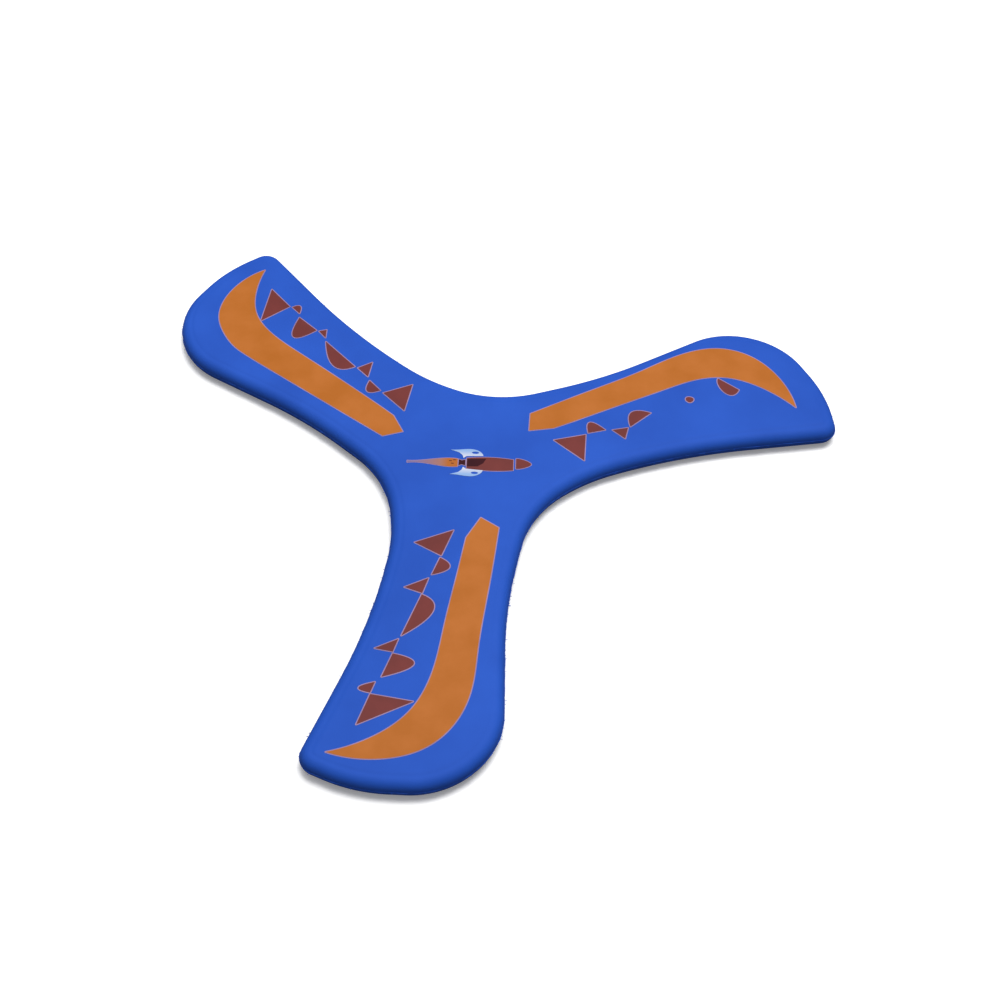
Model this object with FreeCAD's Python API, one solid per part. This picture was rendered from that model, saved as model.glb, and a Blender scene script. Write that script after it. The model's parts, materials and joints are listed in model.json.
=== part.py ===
"""A soft three-blade boomerang: a foam core pressed between two bonded fabric covers, with a transfer print.

The origin is the centre of the three-fold outline on the underside. +Z is up through the printed face
and +X is the way the printed rocket points. Lengths are millimetres and angles are degrees.
"""
import FreeCAD, Part
import math
import os

# Driving dimensions of the body
body_height = 9.0          # underside to printed face, pressed
edge_radius = 4.3          # the pressed edge is close to a half round
seam_lip = 0.15            # how far the trimmed seam stands out past the body
seam_height = 0.5          # both covers together at the trimmed seam
cover_thickness = 0.5      # knitted fabric cover
glue_thickness = 0.15      # hot-melt film under each cover

# Driving dimensions of the print
base_thickness = 0.06      # pale base coat of the transfer
ink_thickness = 0.06       # colour on top of the base coat
keyline = 0.4              # how far the base coat shows round a colour
fine_keyline = 0.3         # the same round the small rocket
print_offset = (-0.2, -0.7)   # how far the transfer was laid off the centre of the body, x and y

# The three blades, by where they lie seen from above, and the direction each one points
blade_angles = {"near": -98.0, "right": 22.0, "left": 142.0}

# Corners of one blade's outline, as (along the blade, across towards the leading edge, corner radius).
# Tangent arcs round the corners, and the same corners repeat on each blade.
blade_corners = [
    (41.8, -22.3, 78.0),     # root of the trailing edge
    (81.5, -21.7, 262.0),    # long hollow of the trailing edge
    (145.2, -34.8, 7.0),     # trailing corner of the tip
    (151.0, -12.5, 60.0),    # end of the tip
    (146.8, 18.4, 32.5),     # leading corner of the tip
    (124.8, 35.2, 31.5),     # shoulder
    (66.0, 25.5, 195.0),     # long hollow of the leading edge
    (19.8, 27.2, 47.0),      # bay between this blade and the next
]

# Outlines of the stripes, as (along, across). Each has a smooth outer edge that ends in the hook's point,
# a smooth inner edge that comes back from it, and the corner that closes the inner end.
# The three stripes are hand-cut stencils, so they differ a little.
stripe_outlines = {
    "near": {
        "outer": [
            (32, 17), (60, 18.2), (88, 19.2), (107, 20),
            (119, 17.4), (131, 9.5), (138, -3), (139.6, -24),
        ],
        "inner": [(139.6, -24), (131, -10), (118.5, 0.5), (104, 4.9), (80, 5.5), (58, 5.7), (39, 5.8)],
        "corner": (28.5, 9.5),
    },
    "right": {
        "outer": [
            (31, 14.8), (58, 18.7), (82, 22.2), (108, 26),
            (119, 23.9), (128, 17.4), (135, 2), (134.5, -16.5),
        ],
        "inner": [(134.5, -16.5), (126, -1.8), (114, 8.2), (104, 10.7), (88, 9.9), (62, 7.2), (37, 4.6)],
        "corner": (27.3, 6.5),
    },
    "left": {
        "outer": [
            (34, 13.7), (60, 15.3), (86, 16.8), (106, 17.8), (113, 17.6),
            (121, 15.4), (130.5, 9.8), (138, -4), (136.8, -23.5),
        ],
        "inner": [(136.8, -23.5), (130.5, -12), (119.5, -1.6), (105, 2.3), (90, 2.6), (55, 2.5), (38, 2.9)],
        "corner": (29.5, 6.8),
    },
}

# The chain of small figures on each blade, as (along, across). Three points make a triangle; a figure
# marked "lobe" has a straight base between its first and last points and one curved side through the
# points between. The right blade's transfer has taken badly, so parts of its figures are missing.
chain_figures = {
    "near": [
        ("triangle", [(36.5, 0.4), (49.2, -1.8), (45, -12.8)]),
        ("lobe", [(50.3, -2), (53.2, 2.2), (58.6, -3.5)]),
        ("triangle", [(60.5, -4.4), (67.6, -5.3), (66.2, -12.2)]),
        ("lobe", [(68.3, -5.3), (73.2, 0.3), (80, -2.2), (87.6, -8.8)]),
        ("triangle", [(89.3, -9.6), (95, -10.4), (94.8, -17)]),
        ("lobe", [(95.8, -10.2), (97.8, -2.2), (106.2, -12)]),
        ("lobe", [(108.8, -13.8), (112.5, -18.8), (113.4, -14.5)]),
        ("triangle", [(114.2, 1), (114, -14.3), (127, -16.3)]),
    ],
    "right": [
        ("triangle", [(34.8, -1.5), (47.8, -2.9), (42.2, -15.3)]),
        ("lobe", [(49.2, -2.3), (51.4, 2.6), (56.2, -3)]),
        ("triangle", [(59, -4), (65.3, -4.9), (62, -9.8)]),
        ("lobe", [(66.5, -4.6), (70, 2.4), (77.2, -0.4)]),
        ("lobe", [(93.6, 1.3), (95.2, 2.8), (96.8, 1.3), (95.2, -0.2), (93.9, 0.7)]),
        ("lobe", [(111.2, 8.4), (109.9, 2.4), (111.8, -1.5), (116.6, -0.2)]),
    ],
    "left": [
        ("triangle", [(36.6, -2), (49.4, -3.6), (43.6, -14.8)]),
        ("lobe", [(51.3, -3.8), (54.6, 0), (58.2, -5)]),
        ("triangle", [(60.3, -6.2), (66.7, -7.1), (64.4, -13.3)]),
        ("lobe", [(68.2, -6.8), (74.5, -1.4), (81, -4.2), (87, -9.4)]),
        ("triangle", [(88.8, -11), (93.4, -12), (91.6, -14.6)]),
        ("lobe", [(94.6, -11.6), (98.6, -2.6), (105.2, -12.4)]),
        ("lobe", [(107, -14.2), (110.2, -17.4), (111.8, -14.9)]),
        ("triangle", [(116, -0.4), (113, -14.4), (126, -16.9)]),
    ],
}

# The rocket at the hub, as (x, y) about its own long axis
rocket_axis_y = -2.05
rocket_flame_upper = [(-24.5, -0.25), (-15, 0.95), (-9.5, 1.8), (-4.8, 1.7)]
rocket_flame_lower = [(-4.8, -2.2), (-9.5, -2.3), (-15, -1.45), (-24.5, -1.1)]
rocket_flame_streaks = [(-8.2, 0.4), (-6.6, 0.9), (-7.4, -0.9)]   # where each short dark streak starts
streak_size = (1.1, 0.35)
rocket_nozzle = [(-4.4, 1.5), (-3.2, 1.0), (-1.8, 1.4), (-1.8, -1.5), (-3.2, -1.0), (-4.4, -1.6)]
rocket_tail = [(-1.1, 2.2), (6.4, 2.7), (5.2, 0.2), (3.0, -1.5), (-1.1, -1.7)]
rocket_body_length = (-1.2, 17.0)
rocket_body_half = 3.4
rocket_body_drop = 0.35     # the body's colour is printed this far below the axis of the fins
rocket_nose_length = (18.1, 24.0)
rocket_nose_lift = 0.4      # and the nose this far above it
rocket_fin_top = [(-7.9, 6.4), (-2.6, 6.8), (1.8, 6.8), (4.2, 5.5), (5.2, 3.7)]
rocket_fin_rear = [(5.2, 3.7), (-1.4, 3.3), (-2.6, 2.3), (-3.0, 3.7), (-4.4, 5.1), (-7.9, 6.4)]
rocket_fin_slot = (2.0, 5.2, 1.4, 0.6)   # centre x, centre y, half length, half width

up = FreeCAD.Vector(0, 0, 1)
origin = FreeCAD.Vector(0, 0, 0)


def at(x, y, z=0.0):
    return FreeCAD.Vector(x, y, z)


def blade_point(angle, along, across):
    """A point given along and across a blade, in the part's own axes."""
    turn = math.radians(angle)
    x = along * math.cos(turn) - across * math.sin(turn)
    y = along * math.sin(turn) + across * math.cos(turn)
    return at(x, y)


def rounded_wire(corners, inset):
    """A closed wire through corners (point, radius), taken anticlockwise and moved inwards by inset.

    Straight runs are joined by tangent arcs, and each point of an arc moves along its own normal."""
    arcs = []
    count = len(corners)
    for i, (corner, radius) in enumerate(corners):
        before = (corners[i - 1][0] - corner).normalize()
        after = (corners[(i + 1) % count][0] - corner).normalize()
        half = before.getAngle(after) / 2
        reach = radius / math.tan(half)
        middle = (before + after).normalize()
        centre = corner + middle * (radius / math.sin(half))
        arrive = before.cross(up)
        leave = up.cross(after)
        inward = (arrive + leave).normalize()
        start = corner + before * reach + arrive * inset
        end = corner + after * reach + leave * inset
        arcs.append((start, centre - middle * radius + inward * inset, end))
    edges = []
    for i, (start, mid, end) in enumerate(arcs):
        following = arcs[(i + 1) % count][0]
        edges.append(Part.Arc(start, mid, end).toShape())
        edges.append(Part.LineSegment(end, following).toShape())
    return Part.Wire(edges)


def outline(inset):
    """The three-bladed outline, moved inwards by inset, as a flat face."""
    corners = []
    for angle in blade_angles.values():
        for along, across, radius in blade_corners:
            corners.append((blade_point(angle, along, across), radius))
    return Part.Face(rounded_wire(corners, inset))


def pressed_form(inset):
    """The pressed body with its near half-round edge, a given distance inside the outer skin."""
    height = body_height - 2 * inset
    face = outline(seam_lip + inset)
    face.translate(up * inset)
    slab = face.extrude(up * height)
    rim = [edge for edge in slab.Edges if edge.BoundBox.ZLength < 0.01]
    return slab.makeFillet(edge_radius - inset, rim)


def seam_band():
    """The flat trimmed band where the two covers meet, out to the cut outline."""
    band = outline(0.0)
    band.translate(up * (body_height - seam_height) / 2)
    return band.extrude(up * seam_height)


def half_space(upper):
    """A box that holds everything on one side of the seam."""
    reach = 400.0
    low = body_height / 2 if upper else body_height / 2 - reach
    return Part.makeBox(reach, reach, reach, at(-reach / 2, -reach / 2, low))


def spline(points):
    curve = Part.BSplineCurve()
    curve.interpolate(points)
    return curve.toShape()


def flat(points):
    return [at(x, y) for x, y in points]


def closed_face(edges):
    return Part.Face(Part.Wire(edges))


def polygon_face(points):
    ring = flat(points) + [at(*points[0])]
    return Part.Face(Part.makePolygon(ring))


def stripe_face(shape):
    """A stripe: smooth outer and inner edges, and an angled inner end."""
    outer = flat(shape["outer"])
    inner = flat(shape["inner"])
    corner = at(*shape["corner"])
    return closed_face([
        spline(outer),
        spline(inner),
        Part.LineSegment(inner[-1], corner).toShape(),
        Part.LineSegment(corner, outer[0]).toShape(),
    ])


def figure_face(kind, points):
    if kind == "triangle":
        return polygon_face(points)
    ring = flat(points)
    return closed_face([spline(ring), Part.LineSegment(ring[-1], ring[0]).toShape()])


def flame_face():
    """The flame: a slender leaf with its point at the back and a straight end at the nozzle."""
    upper = flat(rocket_flame_upper)
    lower = flat(rocket_flame_lower)
    return closed_face([
        spline(upper),
        Part.LineSegment(upper[-1], lower[0]).toShape(),
        spline(lower),
        Part.LineSegment(lower[-1], upper[0]).toShape(),
    ])


def streak_face(x, y):
    length, width = streak_size
    return Part.makePlane(length, width, at(x, y))


def body_taper(length, half, blunt):
    """A spindle side view: two curved flanks between a tail and a front end of given half widths."""
    tail, front = length
    middle = (tail + front) / 2
    upper = [(tail, half * 0.78), (middle, half), (front, half * blunt)]
    lower = [(x, -y) for x, y in reversed(upper)]
    return closed_face([
        spline(flat(upper)),
        Part.LineSegment(at(*upper[-1]), at(*lower[0])).toShape(),
        spline(flat(lower)),
        Part.LineSegment(at(*lower[-1]), at(*upper[0])).toShape(),
    ])


def nose_face():
    """The pointed nose cone, rounded at its tip."""
    base, tip = rocket_nose_length
    half = rocket_body_half * 0.74
    flank = [(base, half), (base + 3.6, half * 0.72), (tip, 0), (base + 3.6, -half * 0.72), (base, -half)]
    return closed_face([spline(flat(flank)), Part.LineSegment(at(base, -half), at(base, half)).toShape()])


def fin_face():
    """One swept fin, without its slot."""
    rear = Part.makePolygon(flat(rocket_fin_rear)).Edges
    return closed_face([spline(flat(rocket_fin_top))] + rear)


def slot_face():
    x, y, half_length, half_width = rocket_fin_slot
    return Part.Face(Part.Wire([Part.Ellipse(at(x, y), half_length, half_width).toShape()]))


def film(face, level, thickness):
    """A printed layer: one face raised to its level and given its thickness."""
    lifted = face.copy()
    lifted.translate(up * level)
    return lifted.extrude(up * thickness)


def base_coat(faces, margin):
    """The pale base under a set of colours, which shows as a thin line round each of them.

    The widened outlines are turned to plain splines, which a STEP file can hold."""
    coats = [film(face.makeOffset2D(margin).toNurbs(), body_height, base_thickness) for face in faces]
    whole = coats[0].multiFuse(coats[1:]) if len(coats) > 1 else coats[0]
    return Part.makeCompound(whole.removeSplitter().Solids)


def ink(faces):
    level = body_height + base_thickness
    return Part.makeCompound([film(face, level, ink_thickness).Solids[0] for face in faces])


def save(name, shape):
    if not shape.isValid():
        raise ValueError(name + " is not a valid shape")
    shape.exportStep("parts/" + name + ".step")
    print(name, "solids", len(shape.Solids), "cm3", round(shape.Volume / 1000, 3))


os.makedirs("parts", exist_ok=True)

# Body: each layer is the form at its own depth less the form of the layer inside it
skin = pressed_form(0.0).fuse(seam_band()).removeSplitter()
under_cover = pressed_form(cover_thickness)
core = pressed_form(cover_thickness + glue_thickness)
cover_shell = skin.cut(under_cover)
glue_shell = under_cover.cut(core)
save("foam_core", core)
for side, upper in (("top", True), ("bottom", False)):
    save(side + "_cover", cover_shell.common(half_space(upper)))
    save(side + "_glue_film", glue_shell.common(half_space(upper)))

# Print on each blade: a base coat, the stripe and the chain of figures
for blade, angle in blade_angles.items():
    stripe = stripe_face(stripe_outlines[blade])
    figures = [figure_face(kind, points) for kind, points in chain_figures[blade]]
    coat = base_coat([stripe] + figures, keyline)
    for name, layer in (("print_base_", coat), ("stripe_", ink([stripe])), ("chain_", ink(figures))):
        layer.rotate(origin, up, angle)
        layer.translate(at(*print_offset))
        save(name + blade, layer)

# Print at the hub: the rocket. The base coat runs under all of it but the fins, which are printed in white
flame = flame_face()
streaks = Part.makeCompound([streak_face(x, y) for x, y in rocket_flame_streaks])
nozzle = polygon_face(rocket_nozzle)
tail = polygon_face(rocket_tail)
body = body_taper(rocket_body_length, rocket_body_half, 0.8)
nose = nose_face()
for face in (tail, body):
    face.translate(at(0, -rocket_body_drop))
nose.translate(at(0, rocket_nose_lift))
upper_fin = ink([fin_face()]).cut(ink([slot_face()]))
lower_fin = upper_fin.mirror(origin, at(0, 1))
rocket = {
    "print_base_rocket": base_coat([flame, nozzle, body, nose], fine_keyline),
    "rocket_flame": ink(flame.cut(streaks).Faces),
    "rocket_nozzle": ink([nozzle] + streaks.Faces),
    "rocket_tail": ink([tail]),
    "rocket_body": ink(body.cut(tail).Faces),
    "rocket_nose": ink([nose]),
    "rocket_fins": Part.makeCompound(upper_fin.Solids + lower_fin.Solids),
}
for name, layer in rocket.items():
    layer.translate(at(print_offset[0], print_offset[1] + rocket_axis_y))
    save(name, layer)
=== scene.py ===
import bmesh
import bpy
import json
import math
import random
from mathutils import Matrix, Quaternion, Vector, noise


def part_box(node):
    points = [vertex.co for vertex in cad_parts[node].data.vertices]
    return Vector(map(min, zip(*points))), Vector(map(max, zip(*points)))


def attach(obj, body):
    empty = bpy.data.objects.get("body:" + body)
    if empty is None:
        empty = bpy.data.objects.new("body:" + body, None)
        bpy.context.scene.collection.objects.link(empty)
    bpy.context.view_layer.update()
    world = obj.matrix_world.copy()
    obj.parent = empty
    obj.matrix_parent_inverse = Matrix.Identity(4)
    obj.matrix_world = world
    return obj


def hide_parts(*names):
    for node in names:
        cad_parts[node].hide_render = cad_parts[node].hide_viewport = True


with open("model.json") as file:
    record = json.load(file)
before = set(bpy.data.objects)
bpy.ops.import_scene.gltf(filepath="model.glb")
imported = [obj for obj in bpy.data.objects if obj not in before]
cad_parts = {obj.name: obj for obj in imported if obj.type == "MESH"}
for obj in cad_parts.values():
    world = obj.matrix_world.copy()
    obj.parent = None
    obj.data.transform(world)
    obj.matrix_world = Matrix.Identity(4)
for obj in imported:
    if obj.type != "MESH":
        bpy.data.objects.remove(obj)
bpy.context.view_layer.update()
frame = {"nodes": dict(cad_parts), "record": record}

# ---------------------------------------------------------------------------------------------
# The camera. It stands as a person holds one over a table: half a metre up and 0.4 m back, tilted
# a little to one side.

camera_elevation = math.radians(50.42)
camera_roll = math.radians(2.468)
camera_distance = 0.6466
looked_at = Vector((0.01223, -0.01359, 0))

camera_data = bpy.data.cameras.new("camera")
camera_data.lens = 59.4
camera_data.sensor_width = 36
camera_data.clip_start = 0.05
camera_data.clip_end = 20
camera = bpy.data.objects.new("camera", camera_data)
back = Vector((0, -math.cos(camera_elevation), math.sin(camera_elevation)))
camera.location = looked_at + back * camera_distance
camera.rotation_mode = "QUATERNION"
tilt = Quaternion((1, 0, 0), math.pi / 2 - camera_elevation)
camera.rotation_quaternion = tilt @ Quaternion((0, 0, 1), camera_roll)
bpy.context.scene.collection.objects.link(camera)
bpy.context.scene.camera = camera


# ---------------------------------------------------------------------------------------------
# The studio: a white sweep that the boomerang lies on, and two big soft boxes high above it. Black cloth
# hangs all round out of view, so hardly any light comes back to the edges that face the camera.

def to_linear(hex_colour):
    """An sRGB hex colour as linear RGBA."""
    channels = [int(hex_colour[i:i + 2], 16) / 255 for i in (1, 3, 5)]
    return [c / 12.92 if c <= 0.04045 else ((c + 0.055) / 1.055) ** 2.4 for c in channels] + [1]


def add(material, kind, links=(), **settings):
    """Adds one node to a material. A setting is a node property or an input's value, and links are
    (input name or number, output socket)."""
    node = material.node_tree.nodes.new("ShaderNode" + kind)
    for name, value in settings.items():
        if hasattr(node, name):
            setattr(node, name, value)
        else:
            node.inputs[name.replace("_", " ")].default_value = value
    for name, output in links:
        material.node_tree.links.new(output, node.inputs[name])
    return node


def new_material(name):
    """An empty material and its output node."""
    material = bpy.data.materials.new(name)
    material.use_nodes = True
    material.node_tree.nodes.clear()
    return material, add(material, "OutputMaterial")


def shown_and_lit(tree, shown, lit, output):
    """The camera sees one shader, and everything else is lit by the other."""
    rays = tree.nodes.new("ShaderNodeLightPath")
    choice = tree.nodes.new("ShaderNodeMixShader")
    tree.links.new(rays.outputs["Is Camera Ray"], choice.inputs[0])
    tree.links.new(lit.outputs[0], choice.inputs[1])
    tree.links.new(shown.outputs[0], choice.inputs[2])
    tree.links.new(choice.outputs[0], output.inputs[0])


# Matt white acrylic sweep, lit past what the eye can measure, so it reads as blank paper. On top of that
# the camera sees a painted glow in it, which lights nothing: painted light that thins the shadows, faint
# by the hub and stronger further out. The black cloth cuts what it sends back up.
white_sweep, sweep_output = new_material("matt_white_acrylic")
sweep_face = add(white_sweep, "BsdfDiffuse", Color=to_linear("#FAFAFA"))
sweep_place = add(white_sweep, "TexCoord")
sweep_reach = add(white_sweep, "VectorMath", [(0, sweep_place.outputs["Object"])], operation="LENGTH")
painted_glow_strength = add(
    white_sweep, "MapRange", [("Value", sweep_reach.outputs["Value"])],
    From_Min=0.25, From_Max=0.9, To_Min=0.2, To_Max=1.0,
)
# Painted light: a glow that only the camera sees and that grows away from the hub, lightening the floor's
# shadows
painted_floor_glow = add(white_sweep, "Emission", [("Strength", painted_glow_strength.outputs["Result"])])
sweep_seen_with_painted_glow = add(white_sweep, "AddShader", [(0, sweep_face.outputs[0]), (1, painted_floor_glow.outputs[0])])
sweep_return = add(white_sweep, "BsdfDiffuse", Color=to_linear("#808080"))
shown_and_lit(white_sweep.node_tree, sweep_seen_with_painted_glow, sweep_return, sweep_output)

floor_half_width = 3
floor_mesh = bmesh.new()
bmesh.ops.create_grid(floor_mesh, x_segments=1, y_segments=1, size=floor_half_width)
floor_data = bpy.data.meshes.new("floor")
floor_mesh.to_mesh(floor_data)
floor_mesh.free()
floor = bpy.data.objects.new("floor", floor_data)
floor_data.materials.append(white_sweep)
bpy.context.scene.collection.objects.link(floor)

world = bpy.data.worlds.new("studio")
world.use_nodes = True
backdrop = world.node_tree.nodes["Background"]
backdrop.inputs["Strength"].default_value = 1
backdrop.inputs["Color"].default_value = (1, 1, 1, 1)
black_cloth = world.node_tree.nodes.new("ShaderNodeBackground")
black_cloth.inputs["Strength"].default_value = 0.2
black_cloth.inputs["Color"].default_value = (1, 1, 1, 1)
shown_and_lit(world.node_tree, backdrop, black_cloth, world.node_tree.nodes["World Output"])
bpy.context.scene.world = world


def soft_box(name, place, size, power):
    """A square soft box at a place, turned to face the hub."""
    data = bpy.data.lights.new(name, "AREA")
    data.shape = "SQUARE"
    data.size = size
    data.energy = power
    lamp = bpy.data.objects.new(name, data)
    lamp.location = place
    lamp.rotation_mode = "QUATERNION"
    lamp.rotation_quaternion = (-Vector(place)).to_track_quat("-Z", "Y")
    bpy.context.scene.collection.objects.link(lamp)


soft_box("key_box", place=(0.3, 0.4, 1.7), size=1.2, power=31)
soft_box("top_box", place=(-0.2, 0.1, 1.7), size=1.0, power=8)

scene = bpy.context.scene
scene.view_settings.view_transform = "Standard"
scene.view_settings.look = "None"
scene.view_settings.exposure = 0
scene.view_settings.gamma = 1


# ---------------------------------------------------------------------------------------------
# The foam core: closed-cell EVA foam, cut to the outline and squashed to a round edge in a hot
# press. It is sealed in, and gives the boomerang its stiffness and spring.

# EVA foam, closed cell, hot-pressed skin: soft white, dull, with small cells that catch the light
eva_foam, foam_output = new_material("eva_foam")
cell_size = 0.0006
foam_place = add(eva_foam, "TexCoord")
foam_cells = add(eva_foam, "TexVoronoi", [("Vector", foam_place.outputs["Object"])], Scale=1 / cell_size)
foam_bump = add(
    eva_foam, "Bump", [("Height", foam_cells.outputs["Distance"])], Strength=0.4, Distance=cell_size / 3,
)
foam_shade = add(eva_foam, "ValToRGB", [("Fac", foam_cells.outputs["Distance"])])
foam_shade.color_ramp.elements[0].color = to_linear("#DDE2E8")
foam_shade.color_ramp.elements[1].color = to_linear("#F1F3F5")
foam_shader = add(
    eva_foam, "BsdfPrincipled", [("Base Color", foam_shade.outputs[0]), ("Normal", foam_bump.outputs[0])],
    Roughness=0.8, IOR=1.49,
)
eva_foam.node_tree.links.new(foam_shader.outputs[0], foam_output.inputs[0])
frame["nodes"]["foam_core"].data.materials.clear()
frame["nodes"]["foam_core"].data.materials.append(eva_foam)


# ---------------------------------------------------------------------------------------------
# The glue films: hot-melt web, ironed between the foam and each cover. They are as wide as the
# foam, and stop at the seam.

# Hot-melt polyurethane film: milky, half glossy, with the web's random strands in it
hot_melt, melt_output = new_material("hot_melt_film")
strand_spacing = 0.0015
melt_place = add(hot_melt, "TexCoord")
melt_strands = add(
    hot_melt, "TexNoise", [("Vector", melt_place.outputs["Object"])],
    Scale=1 / strand_spacing, Detail=4, Distortion=1.2,
)
melt_shade = add(hot_melt, "ValToRGB", [("Fac", melt_strands.outputs["Fac"])])
melt_shade.color_ramp.elements[0].color = to_linear("#C9CFD6")
melt_shade.color_ramp.elements[1].color = to_linear("#E9ECEF")
melt_shader = add(
    hot_melt, "BsdfPrincipled", [("Base Color", melt_shade.outputs[0])], Roughness=0.45, IOR=1.5,
)
hot_melt.node_tree.links.new(melt_shader.outputs[0], melt_output.inputs[0])
for name in ("top_glue_film", "bottom_glue_film"):
    frame["nodes"][name].data.materials.clear()
    frame["nodes"][name].data.materials.append(hot_melt)


# ---------------------------------------------------------------------------------------------
# The covers: fine knitted polyester, dyed blue, bonded over the foam. Both are pressed round the
# edge and meet half way up, where they are fused and trimmed to a narrow lip.

cover_low, cover_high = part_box("top_cover")
seam_level = cover_low.z
top_level = cover_high.z
seam_lip = 0.00015            # how far the trimmed lip stands out past the pressed edge
lip_half_height = 0.00025
cover_thickness = 0.0005
edge_radius = 0.0043
crown_width = 0.0062          # the face starts to fall this far in from the pressed edge
crown_drop = 0.0003           # and has fallen this far where the round edge starts
lip_waver = 0.00018           # how unevenly the lip is trimmed
waver_length = 0.0035         # and how long one nick in it is
fine_waver = (0.6, 2.7)       # finer nicks on top: their depth and how many to a long one

blade_angles = {"near": math.radians(-98), "right": math.radians(22), "left": math.radians(142)}
# The cut outline of one blade: corners along and across it, and the radius of the arc in each
blade_corners = [
    (0.0418, -0.0223, 0.0780),
    (0.0815, -0.0217, 0.2620),
    (0.1452, -0.0348, 0.0070),
    (0.1510, -0.0125, 0.0600),
    (0.1468, 0.0184, 0.0325),
    (0.1248, 0.0352, 0.0315),
    (0.0660, 0.0255, 0.1950),
    (0.0198, 0.0272, 0.0470),
]
step_length = 0.0014          # the spacing of points round the outline
edge_steps = 12               # rings up the pressed edge, and up its lining
lining_steps = 8


def cut_outline(bm, level):
    """The boomerang's outline as one flat face, each corner an arc swept by a spin."""
    corners = []
    for angle in blade_angles.values():
        turn = Matrix.Rotation(angle, 3, "Z")
        for along, across, radius in blade_corners:
            corners.append((turn @ Vector((along, across, level)), radius))
    runs = []
    for i, (corner, radius) in enumerate(corners):
        arriving = (corner - corners[i - 1][0]).normalized()
        leaving = (corners[(i + 1) % len(corners)][0] - corner).normalized()
        bend = math.atan2(arriving.cross(leaving).z, arriving.dot(leaving))
        reach = radius * math.tan(abs(bend) / 2)
        side = Vector((0, 0, math.copysign(1, bend))).cross(arriving)
        first = bm.verts.new(corner - arriving * reach)
        bmesh.ops.spin(
            bm, geom=[first], cent=corner - arriving * reach + side * radius, axis=(0, 0, 1), angle=bend,
            steps=max(2, round(abs(bend) * radius / step_length)),
        )
        runs.append((corner - arriving * reach, corner + leaving * reach))
    for i, (start, end) in enumerate(runs):
        following = runs[(i + 1) % len(runs)][0]
        near = [min(bm.verts, key=lambda v: (v.co - point).length) for point in (end, following)]
        run = bm.edges.new(near)
        pieces = round(run.calc_length() / step_length)
        if pieces > 1:
            bmesh.ops.subdivide_edges(bm, edges=[run], cuts=pieces - 1)
    face = bmesh.ops.contextual_create(bm, geom=bm.edges[:])["faces"][0]
    face.normal_update()
    if face.normal.z < 0:
        face.normal_flip()
    return face


def press_profile():
    """The pressed edge from the lip to the flat face, as (distance in from the body's edge, height
    over the seam). It is a round that starts at the lip and eases into the face's gentle fall."""
    height = top_level - seam_level
    start = math.asin((lip_half_height - height + edge_radius) / edge_radius)
    points = []
    for k in range(edge_steps + 1):
        angle = start + (math.pi / 2 - start) * k / edge_steps
        inwards = edge_radius * (1 - math.cos(angle))
        level = height - edge_radius * (1 - math.sin(angle))
        points.append((inwards, level - crown_drop * inwards / edge_radius))
    for share in (0.3, 0.6, 1.0):
        fall = crown_drop * (1 - share) ** 2
        points.append((edge_radius + (crown_width - edge_radius) * share, height - fall))
    return points


def raise_face(bm, face, path):
    """Insets a face along a path of (inset, rise), each counted from where the face starts."""
    done = (0.0, 0.0)
    for inset, rise in path:
        bmesh.ops.inset_region(
            bm, faces=[face], thickness=inset - done[0], depth=rise - done[1], use_even_offset=True,
            use_boundary=True,
        )
        done = (inset, rise)


def trim_lip(bm):
    """Wavers the cut edge of the lip in and out, as shears leave it."""
    bm.normal_update()
    cut = {v for f in bm.faces if abs(f.normal.z) < 0.01 for v in f.verts}
    depth, count = fine_waver
    for v in cut:
        outwards = Vector((v.normal.x, v.normal.y, 0)).normalized()
        place = Vector((v.co.x, v.co.y, 0)) / waver_length
        v.co += outwards * lip_waver * (noise.noise(place) + depth * noise.noise(place * count))


def make_cover():
    """One cover as a closed shell: its skin from the lip up, and its lining from the seam up."""
    bm = bmesh.new()
    face = cut_outline(bm, seam_level)
    wall = bmesh.ops.extrude_face_region(bm, geom=[face])
    for v in [v for v in wall["geom"] if isinstance(v, bmesh.types.BMVert)]:
        v.co.z += lip_half_height
    skin = next(f for f in wall["geom"] if isinstance(f, bmesh.types.BMFace))
    bmesh.ops.recalc_face_normals(bm, faces=bm.faces[:])
    rise = [(seam_lip + inwards, level - lip_half_height) for inwards, level in press_profile()]
    raise_face(bm, skin, rise)
    # The lining starts from the outline's own face, the only many-sided one that looks down
    lining = next(f for f in bm.faces if f.normal.z < -0.9 and len(f.verts) > 50)
    radius = edge_radius - cover_thickness
    height = top_level - seam_level - cover_thickness
    rise = []
    for k in range(lining_steps + 1):
        angle = math.pi / 2 * k / lining_steps
        inwards = seam_lip + cover_thickness + radius * (1 - math.cos(angle))
        rise.append((inwards, radius * (1 - math.sin(angle)) - height))
    raise_face(bm, lining, rise)
    trim_lip(bm)
    return bm


sharp_edge = math.radians(40)   # an edge that turns more than this stays crisp


def finish_piece(bm, name, node_names, material):
    """Makes a piece from a bmesh, smooth but for its sharp edges, and puts it in place of CAD nodes."""
    bmesh.ops.triangulate(bm, faces=[f for f in bm.faces if len(f.verts) > 4])
    for f in bm.faces:
        f.smooth = True
    data = bpy.data.meshes.new(name)
    bm.to_mesh(data)
    bm.free()
    data.set_sharp_from_angle(angle=sharp_edge)
    data.materials.append(material)
    piece = bpy.data.objects.new(name, data)
    bpy.context.scene.collection.objects.link(piece)
    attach(piece, "root")
    if node_names:
        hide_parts(*node_names)
    return piece


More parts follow.
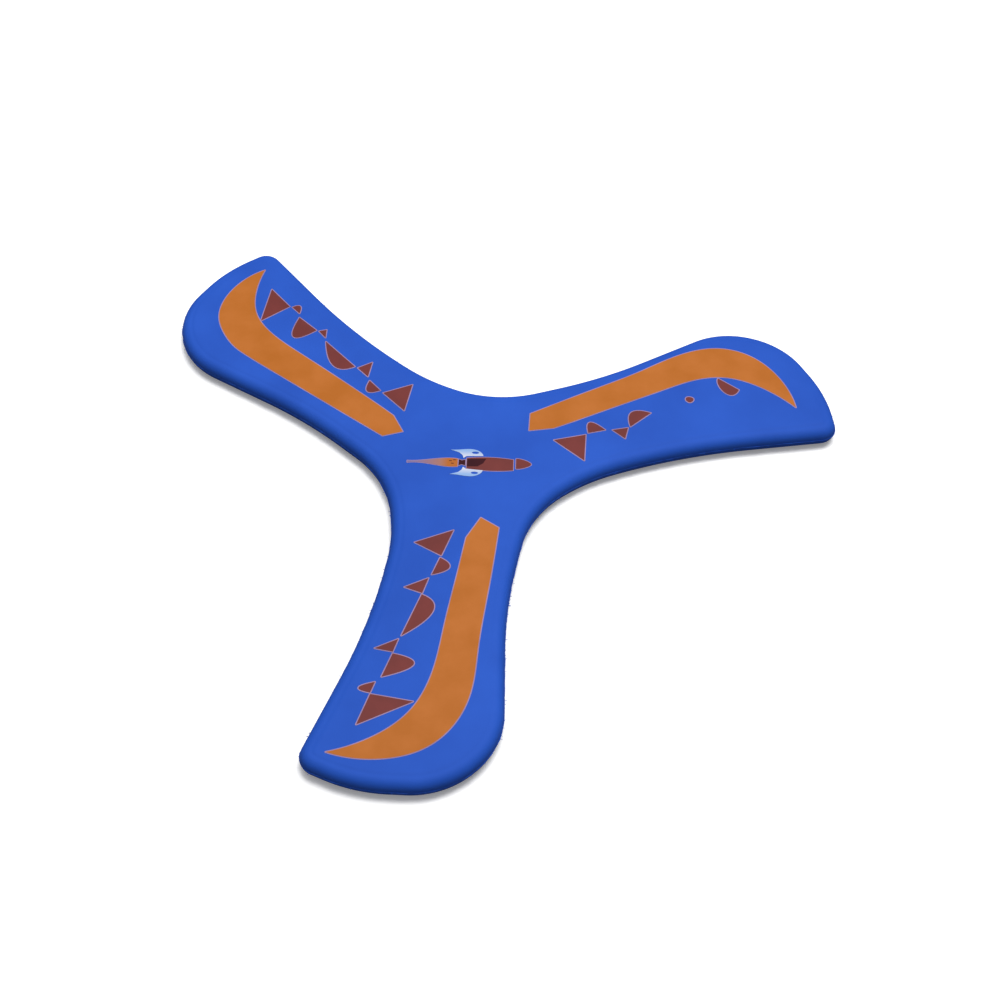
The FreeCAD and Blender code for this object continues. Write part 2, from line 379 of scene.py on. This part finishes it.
# Warp-knitted polyester, piece-dyed blue and calendered in the press: matt, with a soft sheen at
# grazing angles, fine ribs 0.7 mm apart that only show close up, and dye that takes a little unevenly
rib_spacing = 0.0007          # a wave texture's bands lie tau / 20 over its scale apart
yarn_grain = 0.0009
dye_patch = 0.03
blue_knit, knit_output = new_material("blue_polyester_knit")
knit_place = add(blue_knit, "TexCoord")
knit_ribs = add(
    blue_knit, "TexWave", [("Vector", knit_place.outputs["Object"])],
    Scale=math.tau / 20 / rib_spacing, Distortion=1.5, Detail=1,
)
knit_grain = add(
    blue_knit, "TexNoise", [("Vector", knit_place.outputs["Object"])], Scale=1 / yarn_grain, Detail=3,
)
knit_height = add(
    blue_knit, "Mix", [("A", knit_ribs.outputs["Fac"]), ("B", knit_grain.outputs["Fac"])], Factor=0.6,
)
knit_bump = add(
    blue_knit, "Bump", [("Height", knit_height.outputs["Result"])], Strength=0.12, Distance=0.00015,
)
dye_patches = add(
    blue_knit, "TexNoise", [("Vector", knit_place.outputs["Object"])], Scale=1 / dye_patch, Detail=3,
)
dye_shade = add(blue_knit, "ValToRGB", [("Fac", dye_patches.outputs["Fac"])])
dye_shade.color_ramp.elements[0].position = 0.3
dye_shade.color_ramp.elements[0].color = to_linear("#1A4AAC")
dye_shade.color_ramp.elements[1].position = 0.7
dye_shade.color_ramp.elements[1].color = to_linear("#2052B8")
knit_shader = add(
    blue_knit, "BsdfPrincipled", [("Base Color", dye_shade.outputs[0]), ("Normal", knit_bump.outputs[0])],
    Roughness=0.72, IOR=1.5,
)
knit_shader.inputs["Specular IOR Level"].default_value = 0.2
knit_shader.inputs["Sheen Weight"].default_value = 0.03
knit_shader.inputs["Sheen Roughness"].default_value = 0.4
knit_shader.inputs["Sheen Tint"].default_value = to_linear("#8FB0FF")
blue_knit.node_tree.links.new(knit_shader.outputs[0], knit_output.inputs[0])

top_mesh = make_cover()
top_mesh.normal_update()
# Points along the lip's upper edges, each with the way it faces
lip_points = [(v.co.copy(), Vector((v.normal.x, v.normal.y, 0)).normalized())
              for v in top_mesh.verts if abs(v.co.z - seam_level - lip_half_height) < 0.00001]
lip_points = [point for point in lip_points if point[1].length > 0.5]
top_skin = finish_piece(top_mesh, "top_cover_skin", ["top_cover"], blue_knit)

bottom_mesh = make_cover()
to_seam = Matrix.Translation((0, 0, seam_level))
flip = to_seam @ Matrix.Diagonal((1, 1, -1, 1)) @ to_seam.inverted()
bmesh.ops.transform(bottom_mesh, matrix=flip, verts=bottom_mesh.verts)
bmesh.ops.reverse_faces(bottom_mesh, faces=bottom_mesh.faces)
bottom_skin = finish_piece(bottom_mesh, "bottom_cover_skin", ["bottom_cover"], blue_knit)


# ---------------------------------------------------------------------------------------------
# Loose fibres: ends of the covers' yarn that the shears left at the seam. A few stand out all the
# way round, and there are tufts of them where the edge has rubbed.

fibre_radius = 0.00008        # whole yarns of the knit
fibre_sides = 4
fibre_steps = 5
root_depth = 0.0003           # how far each is stood into the edge
fibres_in_tuft = 6
single_fibres = 150
# Where the tufts are: the blade, and the place along it and across it
tufts = [
    ("near", 0.108, -0.027), ("near", 0.132, -0.033), ("near", 0.064, 0.027), ("near", 0.088, 0.029),
    ("left", 0.104, -0.027), ("left", 0.057, -0.023), ("left", 0.039, -0.023), ("right", 0.149, 0.012),
    ("right", 0.151, -0.005),
]


def add_fibre(bm, root, outwards, length, curl, lean):
    """One curled fibre: a ring swept along an arc and drawn to a point, stood in the edge."""
    first = len(bm.verts)
    ring = bmesh.ops.create_circle(bm, segments=fibre_sides, radius=fibre_radius)["verts"]
    edges = list({edge for v in ring for edge in v.link_edges})
    swept = bmesh.ops.spin(
        bm, geom=ring + edges, cent=(length / curl, 0, 0), axis=(0, 1, 0), angle=curl, steps=fibre_steps,
    )
    end = [item for item in swept["geom_last"] if isinstance(item, bmesh.types.BMVert)]
    middle = sum((v.co for v in end), Vector()) / len(end)
    bmesh.ops.pointmerge(bm, verts=end, merge_co=middle)
    bm.verts.ensure_lookup_table()
    fibre = bm.verts[first:]
    rim = list({edge for v in fibre for edge in v.link_edges if edge.is_boundary})
    bmesh.ops.contextual_create(bm, geom=rim)
    sunk = Matrix.Translation(root - outwards * root_depth)
    facing = outwards.to_track_quat("Z", "X").to_matrix().to_4x4()
    bmesh.ops.transform(bm, matrix=sunk @ facing @ lean, verts=fibre)


chance = random.Random(11)
fibres = bmesh.new()
roots = []
for blade, along, across in tufts:
    spot = Matrix.Rotation(blade_angles[blade], 3, "Z") @ Vector((along, across, seam_level))
    close = sorted(lip_points, key=lambda point: (point[0] - spot).length)[:3]
    roots += [chance.choice(close) for _ in range(fibres_in_tuft)]
roots += [chance.choice(lip_points) for _ in range(single_fibres)]
for place, outwards in roots:
    droop = Vector((0, 0, -chance.uniform(0.2, 0.6) * lip_half_height))
    turn = Matrix.Rotation(chance.uniform(0, math.tau), 4, "Z")
    lean = turn @ Matrix.Rotation(chance.uniform(-0.8, 0.8), 4, "Y")
    length = chance.uniform(0.0006, 0.0015)
    add_fibre(fibres, place + droop, outwards, length, chance.uniform(0.3, 1.2), lean)
bmesh.ops.recalc_face_normals(fibres, faces=fibres.faces[:])
finish_piece(fibres, "loose_edge_fibres", [], blue_knit)


# ---------------------------------------------------------------------------------------------
# The print: screen inks on a pale base coat, ironed on from a carrier sheet. Each layer is a thin
# film, so the base shows as a line round every colour but the fins' white, which has no base.

ink_patch = 0.012
ink_grain = 0.0009


def patches(material, place):
    """Soft patches a centimetre or so across, where the screen laid the ink thinner."""
    return add(material, "TexNoise", [("Vector", place)], Scale=1 / ink_patch, Detail=4).outputs["Fac"]


def distance_from(origin, share):
    """The distance from a line, for an ink that fades away from it. The share is one over the length
    of the fade, along the axis that it follows."""
    def build(material, place):
        away = add(material, "VectorMath", [(0, place)], operation="SUBTRACT")
        away.inputs[1].default_value = origin
        either_side = add(material, "VectorMath", [(0, away.outputs[0])], operation="ABSOLUTE")
        along = add(material, "VectorMath", [(0, either_side.outputs[0])], operation="DOT_PRODUCT")
        along.inputs[1].default_value = share
        return along.outputs["Value"]
    return build


def ink_material(name, stops, pattern=patches, shine=0.2):
    """Plastisol ink: matt, its colours set by stops on a pattern as (position, colour)."""
    material, output = new_material(name)
    place = add(material, "TexCoord")
    shade = add(material, "ValToRGB", [("Fac", pattern(material, place.outputs["Object"]))])
    for position, _ in stops[1:-1]:
        shade.color_ramp.elements.new(position)
    for element, (position, colour) in zip(shade.color_ramp.elements, stops):
        element.position = position
        element.color = to_linear(colour)
    grain = add(material, "TexNoise", [("Vector", place.outputs["Object"])], Scale=1 / ink_grain, Detail=3)
    bump = add(material, "Bump", [("Height", grain.outputs["Fac"])], Strength=0.1, Distance=0.0001)
    shader = add(
        material, "BsdfPrincipled", [("Base Color", shade.outputs[0]), ("Normal", bump.outputs[0])],
        Roughness=0.6, IOR=1.48,
    )
    shader.inputs["Specular IOR Level"].default_value = shine
    material.node_tree.links.new(shader.outputs[0], output.inputs[0])
    return material


# The flame fades back from the nozzle's end into the blue, and the fins from the rocket's axis outwards
nozzle_end = -0.0047
rocket_axis = -0.00275
flame_length = 0.02
fin_reach = 0.006
flame_fade = distance_from((nozzle_end, 0, 0), (1 / flame_length, 0, 0))
fin_fade = distance_from((0, rocket_axis, 0), (0, 1 / fin_reach, 0))
inks = {
    "base_coat": ink_material("pale_base_coat", [(0.35, "#8A7394"), (0.65, "#9880A1")]),
    "orange_ink": ink_material("orange_plastisol", [(0.35, "#A85E16"), (0.65, "#B06523")]),
    "maroon_ink": ink_material("maroon_plastisol", [(0.35, "#652A27"), (0.65, "#6E2E2B")]),
    "flame_ink": ink_material(
        "flame_plastisol",
        [(0.2, "#A85E20"), (0.35, "#9A6A5E"), (0.6, "#8A6878"), (1.0, "#6B6596")],
        flame_fade,
    ),
    "brown_ink": ink_material("brown_plastisol", [(0.35, "#33121A"), (0.65, "#3D161C")], shine=0.08),
    "white_ink": ink_material("white_plastisol", [(0.5, "#C6C8D6"), (1.0, "#86A6D2")], fin_fade),
}
for row in frame["record"]["subparts"]:
    if row["material_slot"] in inks:
        film = frame["nodes"][row["node"]]
        film.data.materials.clear()
        film.data.materials.append(inks[row["material_slot"]])
